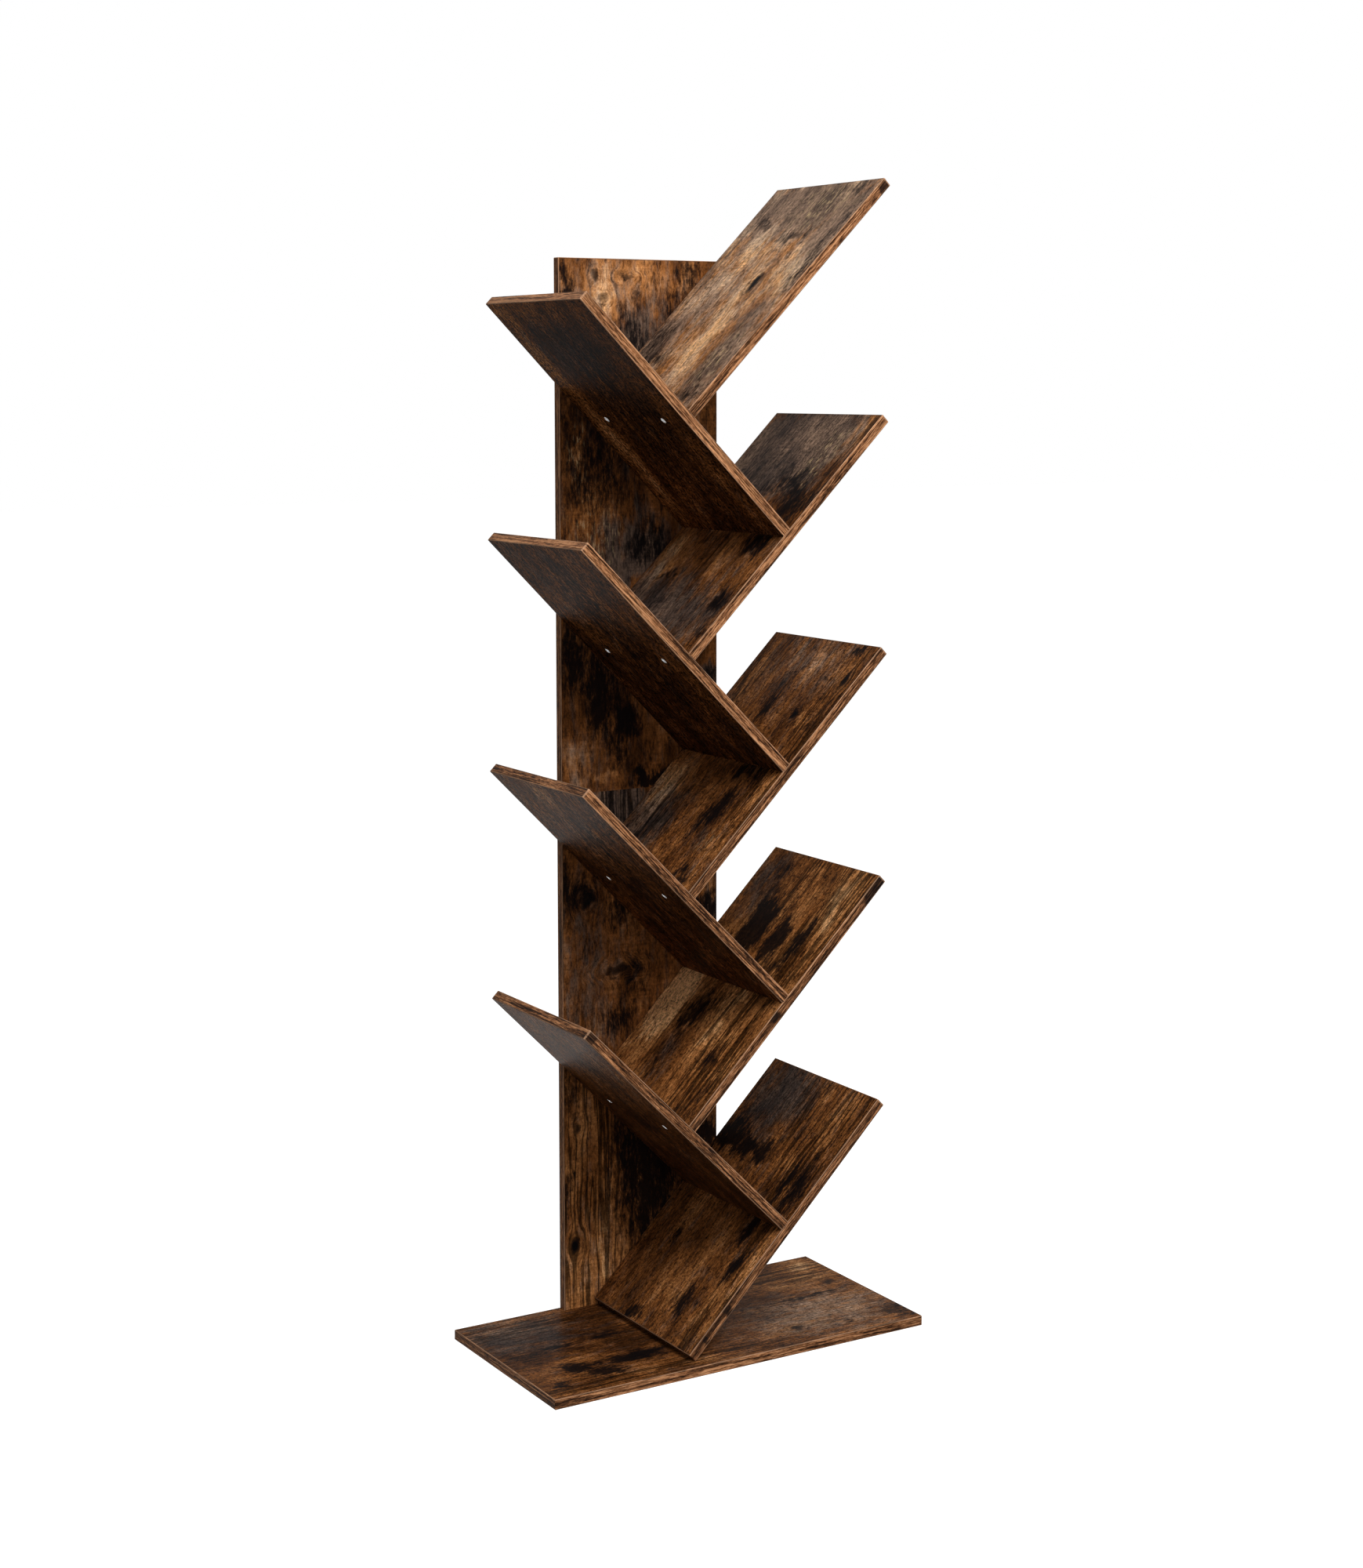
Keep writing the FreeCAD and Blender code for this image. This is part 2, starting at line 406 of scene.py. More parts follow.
def printed_foil(board, look):
    """The printed foil on a board's faces: old planks with smoke, knots, seams, painted shade and
    sheen.
    """
    finish = Finish(bpy.data.materials.new("printed_foil_" + board.node))
    along, across, out = finish.split(finish.place(board))
    hidden = out < -BOARD_THICKNESS / 2
    seed = hidden * HIDDEN_SEED + board.seed
    contrast = hidden * (HIDDEN_CONTRAST - look["contrast"]) + look["contrast"]
    base_tone = hidden * (HIDDEN_TONE - look["tone"]) + (look["tone"] - 0.4)

    def layer(name, aside=across, drift=None, output=0):
        return finish.layer(FOIL_LAYERS[name], along, aside, seed, drift, output)

    # the marks are laid out for the face in the photograph, and the hidden one slides off them
    flat = finish.point(along + hidden * OUT_OF_SIGHT, across, 0.0)
    waver = layer("waver", output=1)
    spot = finish.ragged(flat, waver, MARK_RAGGEDNESS)
    knot_spot = finish.ragged(flat, waver, KNOT_RAGGEDNESS)
    knot_cores, knot_rings, bent = lay_knots(finish, knot_spot, across, look["knots"])

    cloud = layer("cloud")
    blotch = layer("blotch")
    streak = layer("streak", bent)
    fibre = layer("fibre", bent)
    speck = layer("speck")
    rough = (streak - 0.5) * 1.2 + (fibre - 0.5) + (blotch - 0.5) * 0.9

    # brown wood, grey in places, partly in its print and partly as painted sheen of the pale
    # surroundings
    tone = finish.marks(spot, look["tones"], rough * 0.4 + cloud * 0.8 + base_tone)
    warm = finish.ramp(tone, WARM_TONES)
    ashen = finish.ramp(tone, ASHEN_TONES)
    grey_and_sheen = finish.marks(spot, look["grey_and_sheen_marks"], (blotch - streak) * 1.6 + look["grey_and_sheen"])
    colour = finish.mix(finish.rise(grey_and_sheen, 0.1, 0.9), warm, ashen)

    # straight dark lines of grain, wavering a little along their length
    lines = layer("grain_line", bent, layer("drift") * 1.8)
    lines = finish.rise(abs(lines - 0.5), 0.08, 0.016)
    straight = finish.marks(spot, look["grain"], (streak - 0.5) * 1.5 + look["grain_all"])
    lines = lines * finish.rise(straight, 0.0, 0.8)
    shade = 1.0 + ((fibre - 0.5) * 2.7 + (speck - 0.5) * 3.6) * contrast
    shade = shade * (1.0 - lines * 0.78)

    # faint saw marks across the grain, in places
    shade = shade * (1.0 + (layer("saw") - 0.5) * finish.rise(cloud, 0.42, 0.58) * 1.1)
    seam_lines, planks = lay_seams(finish, along, across, fibre, 1.0 - hidden, look["seams"])
    colour = finish.shaded(colour, shade * planks)

    # pale dashes where the wood is scuffed
    scuffed = finish.rise(finish.marks(spot, look["scuffs"], 0.08), 0.0, 0.8)
    colour = finish.mix(finish.rise(layer("dash"), 0.54, 0.66) * scuffed * 0.7, colour, SCUFF)

    # smoke, painted shade, pits, seams and knots are all dark in the same way
    smoke_and_shade = look["smoke_and_shade"] - rough * 1.3 - (fibre - 0.5) * 0.9
    smoke_and_shade = finish.marks(spot, look["stains_and_shade"], smoke_and_shade)
    smoke_and_shade = smoke_and_shade + finish.rise(cloud, 0.5, 0.3) * hidden * HIDDEN_SMOKE
    smoke_and_shade = finish.rise(smoke_and_shade, 0.0, 1.05) * 0.95
    pits = finish.rise(speck * 0.7 + fibre * 0.3, 0.57, 0.68) * 0.5
    bright = (1.0 - smoke_and_shade) * (1.0 - pits) * (1.0 - seam_lines)
    bright = bright * (1.0 - knot_cores) * (1.0 - knot_rings * 0.55)
    colour = finish.mix(1.0 - bright, colour, SOOT_AND_SHADE)

    # the cut core shows inside the screw holes
    depth = abs(out + BOARD_THICKNESS / 2)
    core = 1.0 - finish.rise(depth, BOARD_THICKNESS / 2 - 0.4, BOARD_THICKNESS / 2 - 0.2)
    colour = finish.mix(core, colour, CHIPBOARD)

    return finish.surface({
        "Base Color": colour,
        "Roughness": 0.22 + fibre * 0.2,
        "Specular IOR Level": look["sheen"],
        "Normal": finish.bump(fibre - lines * 0.6, 0.35, 0.00025),
    })


def edge_band(board, look):
    """The thin printed strip on a board's edges, its grain running along each edge."""
    finish = Finish(bpy.data.materials.new("edge_band_" + board.node))
    along, across, out = finish.split(finish.place(board))
    on_side = abs(across) > board.half_width - BAND_THICKNESS
    on_end = 1.0 - on_side
    run = along * on_side + across * on_end
    # each strip has its own stretch of print
    seed = (across > 0.0) * on_side * 3.1 + on_end * 5.7 + board.seed * 1.7

    def layer(name, drift=None):
        return finish.layer(BAND_LAYERS[name], run, out, seed, drift)

    waver = layer("waver")
    streak = layer("streak", waver * 1.2)
    fibre = layer("fibre")
    tone = (streak - 0.5) * 3.4 + (fibre - 0.5) * 2.4 + look["band_tone"]
    colour = finish.ramp(tone, BAND_TONES)
    lines = layer("grain_line", waver * 0.8)
    colour = finish.shaded(colour, 1.0 - finish.rise(abs(lines - 0.5), 0.05, 0.01) * 0.55)

    # charred places, of which those listed are on the front edge
    on_front = (across < 0.0) * on_side
    char = layer("patch")
    for middle, reach, strength in look["chars"]:
        near = finish.rise(abs(along - middle), reach * 1.4, reach * 0.4, 0.0, strength * 0.3)
        char = char + near * on_front
    colour = finish.mix(finish.rise(char, 0.6, 0.76) * 0.85, colour, SOOT_AND_SHADE)

    # a painted highlight lies pale along the corners, broken up by the streaks, and a dark line of
    # glue lies beside them on the face
    inward = BOARD_THICKNESS / 2 - abs(out + BOARD_THICKNESS / 2)
    from_corner = (board.length - along) + (board.half_width - abs(across))
    painted_edge_highlight = finish.rise(inward, BAND_CHAMFER + 0.7, BAND_CHAMFER)
    painted_edge_highlight = painted_edge_highlight + finish.rise(from_corner, BAND_CHAMFER + 1.0, BAND_CHAMFER)
    painted_edge_highlight = painted_edge_highlight * finish.rise(streak, 0.3, 0.5, 0.4, 1.0) * 0.5
    colour = finish.mix(painted_edge_highlight, colour, EDGE_HIGHLIGHT)
    colour = finish.mix(finish.rise(inward, 0.05, 0.01) * 0.75, colour, GLUE_LINE)

    return finish.surface({
        "Base Color": colour,
        "Roughness": 0.36 + fibre * 0.16,
        "Specular IOR Level": 0.02,
        "Normal": finish.bump(fibre, 0.3, 0.0002),
    })


def zinc():
    """Zinc plating: pale bluish steel with a faint cloudy sheen."""
    finish = Finish(bpy.data.materials.new("zinc_plating"))
    cloud = finish.noise(finish.vector("SCALE", {0: finish.here(), 3: 900.0}), 3.0)
    return finish.surface({
        "Base Color": finish.ramp(cloud, ZINC_TONES),
        "Metallic": 1.0,
        "Roughness": 0.5 + cloud * 0.15,
        "Normal": finish.bump(cloud, 0.15, 0.0001),
    })


def beech():
    """Pale beech with short darker flecks along each upright dowel."""
    finish = Finish(bpy.data.materials.new("beech"))
    stretched = finish.vector("MULTIPLY", {0: finish.here(), 1: (900.0, 900.0, 90.0)})
    grain = finish.noise(stretched, 4.0)
    return finish.surface({
        "Base Color": finish.ramp(grain, BEECH_TONES),
        "Roughness": 0.55 + grain * 0.2,
        "Normal": finish.bump(grain, 0.3, 0.0001),
    })


# What each print shows
#
# tone says how pale the wood is, grey_and_sheen how grey, partly in its print and partly as
# painted sheen, smoke_and_shade how sooty, contrast how strong its fibres are, grain_all how
# much of it has straight grain lines, sheen how much it mirrors, and band_tone how pale the
# edge band is.
# The lists hold marks that are laid out one by one: tones are paler places, grey_and_sheen_marks
# greyer ones, partly painted sheen, stains_and_shade smoky ones, and painted shade where noted,
# scuffs scratched pale, and grain has straight lines. A mark is along, across, half length, half
# width and strength, with the lengths in millimetres, and one with a negative strength does the
# opposite. Knots are given in the same way.
# chars are burnt places on the front band: along, half length and strength.
# seams run between planks: across, start, end, and how much brighter the far plank is.

PLAIN = {
    "tone": 0.5, "grey_and_sheen": 0.15, "smoke_and_shade": 0.0, "contrast": 1.0, "grain_all": 0.2, "sheen": 0.006,
    "band_tone": 0.5,
    "tones": [], "grey_and_sheen_marks": [], "stains_and_shade": [], "scuffs": [], "grain": [], "knots": [],
    "chars": [], "seams": [],
}

LOOKS = {
    "right_shelf_5": {
        # the print is paler than on the other shelves, partly its own and partly painted light for
        # the fuller light on the top shelf
        "tone": 0.8,
        "grey_and_sheen": 0.46,
        "smoke_and_shade": -0.1,
        "grain_all": 0.0,
        "band_tone": 0.54,
        "tones": [
            (110, -18, 70, 22, 0.2), (280, 50, 24, 22, 0.22), (210, -84, 34, 12, 0.2),
            (210, 20, 60, 40, 0.08), (80, -80, 80, 28, -0.22), (335, 0, 50, 140, -0.16),
            (100, 84, 56, 30, -0.25), (170, -20, 60, 40, 0.08), (60, 5, 40, 16, -0.12),
            (95, -95, 26, 14, 0.18), (14, -95, 16, 20, -0.2), (240, -55, 60, 18, 0.1),
        ],
        "grey_and_sheen_marks": [
            (335, 0, 60, 160, 0.6), (80, -84, 80, 30, 0.5), (100, 86, 60, 34, 0.5),
            (270, -90, 60, 26, 0.6), (190, 60, 60, 50, 0.3),
        ],
        "stains_and_shade": [
            (104, 88, 46, 24, 0.65), (75, 48, 18, 28, 0.75), (25, -70, 15, 28, 0.75),
            (90, -88, 60, 16, 0.4), (242, -100, 66, 15, 0.65), (282, -18, 12, 36, 0.75),
            (308, 72, 10, 30, 0.75), (362, -76, 18, 22, 0.75), (155, -2, 16, 8, 0.6),
            (20, -104, 26, 12, 0.5), (255, 8, 8, 20, 0.3),
        ],
        "scuffs": [(215, -82, 36, 18, 0.9), (330, -30, 44, 60, 0.6), (80, -78, 60, 24, 0.6)],
        "knots": [(203, -22, 16, 9, 1.0)],
        "chars": [(362, 10, 1.0)],
        "seams": [(95, 170, 400, -0.12)],
    },
    "right_shelf_4": {
        "tone": 0.4,
        "grey_and_sheen": 0.25,
        "smoke_and_shade": 0.1,
        "contrast": 1.0,
        "band_tone": 0.52,
        "tones": [
            (128, -78, 26, 34, 0.1), (150, -20, 30, 30, 0.15), (80, 30, 34, 70, -0.1),
            (320, 30, 60, 110, 0.1), (340, -50, 40, 50, 0.16), (150, 76, 18, 10, 0.1),
            (115, 95, 50, 26, 0.3), (140, 74, 56, 52, 0.34), (320, 98, 80, 20, 0.15),
            (340, -95, 50, 16, 0.32), (10, 0, 20, 30, 0.15),
        ],
        "grey_and_sheen_marks": [
            (305, 50, 80, 80, 1.1), (50, 20, 50, 120, 0.7), (320, -45, 70, 50, 0.9),
            (90, 90, 50, 20, 0.4),
        ],
        "stains_and_shade": [
            (103, 62, 6, 26, 0.8), (75, -86, 18, 16, 0.9), (165, -72, 20, 26, 0.9),
            (25, -100, 20, 12, 0.6), (226, -80, 32, 34, 0.95), (262, -20, 20, 34, 0.6),
            (168, 40, 12, 60, 0.4), (262, 56, 16, 20, 0.5), (258, -52, 16, 24, 0.6),
            (150, 80, 44, 50, -0.35),
        ],
        "scuffs": [(300, -62, 44, 20, 0.9)],
        "grain": [(300, -105, 90, 10, 0.8), (140, 0, 40, 14, 0.6)],
    },
    "right_shelf_3": {
        "tone": 0.43,
        "smoke_and_shade": 0.1,
        "contrast": 1.3,
        "band_tone": 0.36,
        "tones": [
            (80, 70, 56, 46, -0.12), (108, -2, 40, 14, 0.15), (155, -92, 50, 16, 0.2),
            (335, -20, 44, 60, 0.16), (255, -64, 12, 8, 0.3), (290, 80, 40, 26, 0.1),
            (120, 92, 60, 30, 0.32), (140, 72, 50, 44, 0.3), (345, 95, 36, 24, 0.16),
            (40, -95, 50, 16, 0.26), (325, -95, 60, 14, 0.12), (290, 5, 24, 30, -0.12),
        ],
        "grey_and_sheen_marks": [(70, 70, 60, 50, 0.72), (60, -70, 30, 30, 0.15), (335, 0, 60, 90, 0.35)],
        "stains_and_shade": [
            (100, -38, 28, 16, 0.95), (125, -54, 24, 14, 0.85), (20, -75, 16, 20, 0.7),
            (252, 12, 24, 10, 0.9), (172, -45, 16, 34, 0.8), (125, 38, 26, 4, 0.8),
            (365, -75, 6, 12, 1.0), (245, -60, 14, 40, 0.3), (150, 80, 44, 50, -0.35),
        ],
        "scuffs": [(70, -70, 22, 14, 0.25)],
        "grain": [
            (160, -92, 90, 18, 1.0), (300, -90, 70, 22, 0.9), (90, 65, 60, 20, 0.6),
            (300, 90, 60, 20, 0.6),
        ],
        "knots": [(257, -49, 7, 6, 1.0), (315, -93, 9, 5, 0.9)],
        "seams": [(65, 20, 90, 0.0)],
    },
    "right_shelf_2": {
        "tone": 0.57,
        "grey_and_sheen": -0.12,
        "smoke_and_shade": 0.04,
        "contrast": 1.25,
        "band_tone": 0.38,
        "tones": [
            (110, 84, 90, 26, 0.08), (140, -40, 60, 26, 0.2), (110, -70, 20, 12, 0.2),
            (325, -66, 56, 20, 0.16), (320, -92, 80, 18, 0.1), (330, 5, 50, 20, 0.04),
            (320, 76, 60, 34, -0.2), (60, 15, 40, 26, -0.15), (340, 0, 50, 30, -0.04),
            (130, 85, 80, 36, 0.22), (140, 76, 56, 44, 0.3), (30, 5, 50, 20, -0.08),
            (60, -95, 50, 16, 0.1), (355, -85, 30, 30, 0.06),
        ],
        "grey_and_sheen_marks": [
            (320, 80, 70, 34, 0.7), (70, 20, 70, 30, 0.6), (140, -40, 90, 50, -0.5),
            (310, -80, 90, 30, -0.4),
        ],
        "stains_and_shade": [
            (132, 26, 34, 24, 1.1), (60, 26, 34, 18, 0.5), (80, -62, 20, 12, 0.8),
            (250, 36, 38, 24, 1.8), (245, -18, 38, 16, 1.5), (262, -60, 30, 9, 1.1),
            (305, 52, 34, 14, 0.5), (345, 62, 14, 10, 0.7), (178, 66, 12, 6, 0.8),
            (40, -90, 18, 8, 0.6), (150, -5, 30, 14, 0.4), (280, 25, 40, 40, 0.6),
            (222, -50, 14, 14, 0.7), (155, 85, 40, 40, -0.35),
        ],
        "grain": [
            (120, -45, 120, 30, 1.0), (60, -80, 90, 26, 1.2), (300, -80, 130, 34, 1.2),
            (330, 0, 70, 26, 0.9),
        ],
        "knots": [(345, -38, 10, 4, 0.7)],
        "chars": [(352, 18, 1.0), (160, 10, 0.8)],
        "seams": [(53, -20, 175, 0.16)],
    },
    "right_shelf_1": {
        "tone": 0.44,
        "smoke_and_shade": 0.08,
        "contrast": 1.25,
        "band_tone": 0.34,
        "tones": [
            (110, -30, 44, 18, 0.15), (60, -78, 60, 18, 0.15), (130, -100, 60, 12, 0.25),
            (300, -66, 90, 34, 0.18), (330, 50, 60, 50, -0.14), (60, 10, 50, 40, 0.1),
            (150, 30, 40, 60, 0.14), (60, -95, 60, 18, 0.12), (345, 0, 36, 90, 0.05),
        ],
        "grey_and_sheen_marks": [(330, 50, 60, 60, 0.7)],
        "stains_and_shade": [
            (52, -36, 22, 18, 0.9), (5, 30, 14, 14, 1.0), (115, 52, 14, 10, 0.8),
            (165, -60, 34, 9, 1.3), (115, -78, 30, 8, 1.0), (230, -62, 34, 7, 1.1),
            # the stain at 252 along is painted shade, in the corner beside the foot of the left
            # shelf on this shelf
            (226, -88, 40, 16, 0.9), (246, 10, 22, 6, 1.0), (252, 55, 18, 60, 1.2),
            (362, -15, 16, 14, 0.5), (275, -82, 14, 8, 0.7), (270, 90, 40, 20, 0.6),
        ],
        "grain": [(300, -66, 110, 40, 1.3), (80, -95, 120, 20, 1.1), (320, 0, 60, 24, 0.6)],
        "chars": [(67, 8, 1.0), (25, 5, 1.0)],
    },
    "base_board": {
        "tone": 0.47,
        "smoke_and_shade": 0.06,
        "contrast": 1.2,
        "grain_all": 0.3,
        "tones": [
            (75, -36, 36, 16, 0.2), (160, -96, 70, 22, 0.2), (440, 70, 70, 40, 0.25),
            (60, 20, 90, 60, -0.2), (400, -50, 110, 60, 0.16), (160, 0, 34, 140, -0.26),
            (440, 0, 80, 140, 0.1), (475, 100, 30, 24, 0.22), (104, 0, 20, 20, -0.16),
            (85, -102, 40, 12, -0.14),
        ],
        "grey_and_sheen_marks": [(50, 70, 80, 60, 0.6), (400, -50, 120, 80, 0.55), (440, 70, 70, 40, -0.1)],
        "stains_and_shade": [
            (64, -54, 22, 16, 1.3), (88, -80, 26, 15, 1.3), (30, -90, 16, 12, 0.8),
            (140, -56, 44, 14, 1.25), (80, 14, 24, 8, 0.8), (140, 18, 30, 10, 0.7),
            (430, 3, 70, 6, 0.9), (415, -95, 12, 6, 0.7), (490, -92, 24, 28, 0.7),
            (280, -80, 16, 5, 0.6), (25, 5, 40, 18, 0.4), (350, -20, 40, 20, 0.3),
        ],
        "scuffs": [(360, -70, 60, 40, 0.2)],
        "grain": [(150, -105, 160, 16, 0.8), (440, 80, 80, 30, 0.6), (60, 90, 80, 30, 0.6)],
        "knots": [(470, 32, 10, 8, 0.7), (350, -82, 9, 8, 0.8)],
    },
    "lower_back_panel": {
        "tone": 0.44,
        "smoke_and_shade": 0.1,
        "contrast": 0.65,
        "tones": [
            (120, 80, 160, 40, 0.22), (50, 40, 60, 26, 0.2), (40, 96, 50, 14, 0.1),
            (350, 80, 50, 30, 0.1), (430, 70, 90, 40, 0.1), (600, 50, 28, 44, -0.06),
        ],
        "grey_and_sheen_marks": [(605, 40, 40, 60, 1.0), (400, 80, 90, 50, 0.35), (475, -95, 28, 18, 0.6)],
        "stains_and_shade": [
            # the first stain, large and low on the panel, is painted shadow where the shelves
            # shade it
            (162, -10, 124, 50, 1.05), (350, 30, 24, 24, 0.7), (404, 8, 26, 20, 0.5),
            (505, 80, 26, 20, 0.5), (510, 105, 40, 14, 0.9), (485, 28, 26, 30, 0.6),
            (600, 40, 24, 34, 0.3), (280, 100, 40, 16, 0.4), (155, 102, 16, 8, 0.5),
            (187, -95, 22, 18, 1.3), (475, -95, 28, 18, 1.1),
        ],
        "grain": [(120, 80, 200, 50, 1.3), (605, 40, 40, 60, 0.8)],
        "knots": [
            (78, 93, 9, 7, 1.0), (225, 88, 7, 5, 0.8), (410, 32, 6, 17, 0.8),
            (500, 74, 11, 9, 0.9),
        ],
    },
    "upper_back_panel": {
        "tone": 0.38,
        "smoke_and_shade": 0.16,
        "contrast": 0.5,
        "grain_all": 0.05,
        "tones": [
            (36, 84, 34, 26, 0.22), (16, 50, 8, 22, 0.26), (70, -36, 24, 20, 0.2),
            (311, 60, 50, 44, 0.1), (601, 20, 40, 130, 0.35), (566, 60, 26, 40, 0.28),
            (531, 0, 30, 34, 0.1), (401, 84, 22, 10, 0.3),
        ],
        "grey_and_sheen_marks": [
            (600, 30, 50, 120, 0.25), (530, 0, 36, 40, 0.8), (290, 10, 40, 60, 0.7),
            (40, 84, 40, 30, 0.4), (260, 20, 20, 60, 0.6), (130, -95, 20, 18, 0.6),
        ],
        "stains_and_shade": [
            (66, 30, 40, 16, 0.8), (81, 14, 22, 14, 0.8), (100, 60, 40, 16, 0.7),
            (12, -10, 7, 28, 1.2), (150, 50, 60, 50, 0.7), (170, 95, 50, 16, 0.6),
            (292, -10, 24, 30, 0.8), (366, 60, 50, 50, 0.5), (451, 40, 70, 80, 0.5),
            (579, 96, 24, 10, 1.0), (612, 102, 10, 8, 0.8), (531, 10, 34, 30, 0.6),
            (580, -50, 24, 20, 0.5), (555, 104, 30, 12, 0.9), (616, -66, 24, 16, 0.5),
            (130, -95, 20, 18, 0.8),
        ],
        "scuffs": [(401, 84, 30, 12, 0.8), (311, 60, 50, 40, 0.3)],
        "knots": [
            (611, 60, 8, 5, 0.8), (583, 50, 5, 7, 0.6), (607, 17, 3, 9, 0.6), (590, 4, 4, 4, 0.5),
        ],
    },
}

# The left shelves show their undersides, whose darker print is partly painted shade.
# The lower ones have a greyer, paler upper end, a painted sheen of the pale surroundings.
for tier, painted_sheen, band_tone in ((4, 0.05, 0.64), (3, 0.16, 0.56), (2, 0.26, 0.42), (1, 0.34, 0.38)):
    LOOKS["left_shelf_%d" % tier] = {
        "tone": 0.31,
        "smoke_and_shade": 0.08,
        "contrast": 2.6,
        "sheen": 0.004,
        "band_tone": band_tone,
        "tones": [(320, 0, 100, 160, painted_sheen)],
        "grey_and_sheen_marks": [(320, 0, 100, 160, painted_sheen)],
        "stains_and_shade": [(180, -10, 120, 40, 0.4), (290, -10, 60, 50, 0.3)],
    }
LOOKS["left_shelf_4"]["tones"] = [
    (120, 86, 150, 22, 0.46), (320, 92, 80, 22, 0.3), (60, 20, 60, 30, 0.15),
    (60, -80, 80, 14, 0.2), (290, 0, 50, 80, -0.12), (355, 20, 26, 110, 0.1),
]
LOOKS["left_shelf_4"]["grey_and_sheen_marks"] = [
    (290, 30, 50, 100, 0.3), (110, 90, 150, 30, -0.7), (360, 20, 24, 110, -0.2),
]
LOOKS["left_shelf_1"]["chars"] = [(366, 8, 1.2), (350, 14, 0.6), (140, 40, 0.5)]


# The boards and dowels

RIGHT_SHELVES = ["right_shelf_%d" % tier for tier in range(1, 6)]
LEFT_SHELVES = ["left_shelf_%d" % tier for tier in range(1, 5)]
PANELS = ["lower_back_panel", "upper_back_panel"]


def wear(piece, material):
    """Gives a piece one material all over."""
    piece.data.materials.clear()
    piece.data.materials.append(material)


boards = {}
for number, name in enumerate(["base_board"] + PANELS + RIGHT_SHELVES + LEFT_SHELVES):
    boards[name] = Board(name, seed=2.0 + 1.37 * number)
    look = {**PLAIN, **LOOKS[name]}
    wear(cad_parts[name], printed_foil(boards[name], look))
    wear(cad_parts[name + "_edge_bands"], edge_band(boards[name], look))

beech_wood = beech()
for name in ("foot_dowels", "panel_joint_dowels"):
    wear(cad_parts[name], beech_wood)


# The wood screws, modelled at one unit to the millimetre

def start_edit(piece, wanted):
    """Goes into edit mode with only the faces selected whose middle and normal are wanted."""
    bpy.context.tool_settings.mesh_select_mode = (False, False, True)
    for part in (*piece.data.vertices, *piece.data.edges, *piece.data.polygons):
        part.select = False
    for face in piece.data.polygons:
        face.select = wanted(face.center, face.normal)
    bpy.ops.object.mode_set(mode="EDIT")


def end_edit():
    bpy.ops.object.mode_set(mode="OBJECT")


def combine(piece, tool, operation):
    """Joins or cuts a piece with another, which is then gone."""
    bpy.context.view_layer.objects.active = piece
    bpy.ops.object.modifier_add(type="BOOLEAN")
    cut = piece.modifiers[-1]
    cut.operation = operation
    cut.solver = "EXACT"
    cut.object = tool
    bpy.ops.object.modifier_apply(modifier=cut.name)
    bpy.data.objects.remove(tool)


def make_thread():
    """A ridge of triangular section, wound about Z along the shank."""
    bpy.ops.object.select_all(action="DESELECT")
    bpy.ops.mesh.primitive_circle_add(
        vertices=3,
        radius=RIDGE_RADIUS,
        location=(RIDGE_MIDDLE, 0, THREAD_START + THREAD_PITCH / 2),
        rotation=(-math.pi / 2, -math.pi / 2, 0),
    )
    ridge = bpy.context.object
    bpy.ops.object.transform_apply(location=True, rotation=True, scale=True)
    bpy.ops.object.modifier_add(type="SCREW")
    winding = ridge.modifiers[-1]
    winding.screw_offset = THREAD_PITCH
    winding.iterations = THREAD_TURNS
    winding.steps = winding.render_steps = RIDGE_STEPS_PER_TURN
    bpy.ops.object.modifier_apply(modifier=winding.name)
    bpy.ops.object.mode_set(mode="EDIT")
    bpy.ops.mesh.select_all(action="SELECT")
    bpy.ops.mesh.remove_doubles(threshold=0.0001)
    bpy.ops.mesh.fill_holes(sides=3)
    bpy.ops.mesh.normals_make_consistent(inside=False)
    end_edit()
    return ridge


def make_recess():
    """The tapered cross that a screwdriver fits, reaching up into the head from below it."""
    bpy.ops.object.select_all(action="DESELECT")
    bpy.ops.mesh.primitive_cube_add(
        size=1.0,
        location=(0, 0, RECESS_DEPTH / 2 - RECESS_OVERREACH / 2),
        scale=(RECESS_SLOT, RECESS_SLOT, RECESS_DEPTH + RECESS_OVERREACH),
    )
    cross = bpy.context.object
    bpy.ops.object.transform_apply(location=True, rotation=True, scale=True)
    arm = (RECESS_SPAN - RECESS_SLOT) / 2
    start_edit(cross, lambda middle, normal: abs(normal.z) < 0.5)
    bpy.ops.mesh.extrude_faces_move(TRANSFORM_OT_shrink_fatten={"value": arm})
    end_edit()
    start_edit(cross, lambda middle, normal: normal.z > 0.5)
    bpy.ops.transform.resize(value=(RECESS_BOTTOM_SHARE, RECESS_BOTTOM_SHARE, 1))
    end_edit()
    return cross


def pull_out(rise, share):
    """Extrudes the selected face along Z and draws it in to a share of its width."""
    bpy.ops.mesh.extrude_region_move(TRANSFORM_OT_translate={"value": (0, 0, rise)})
    bpy.ops.transform.resize(value=(share, share, 1))


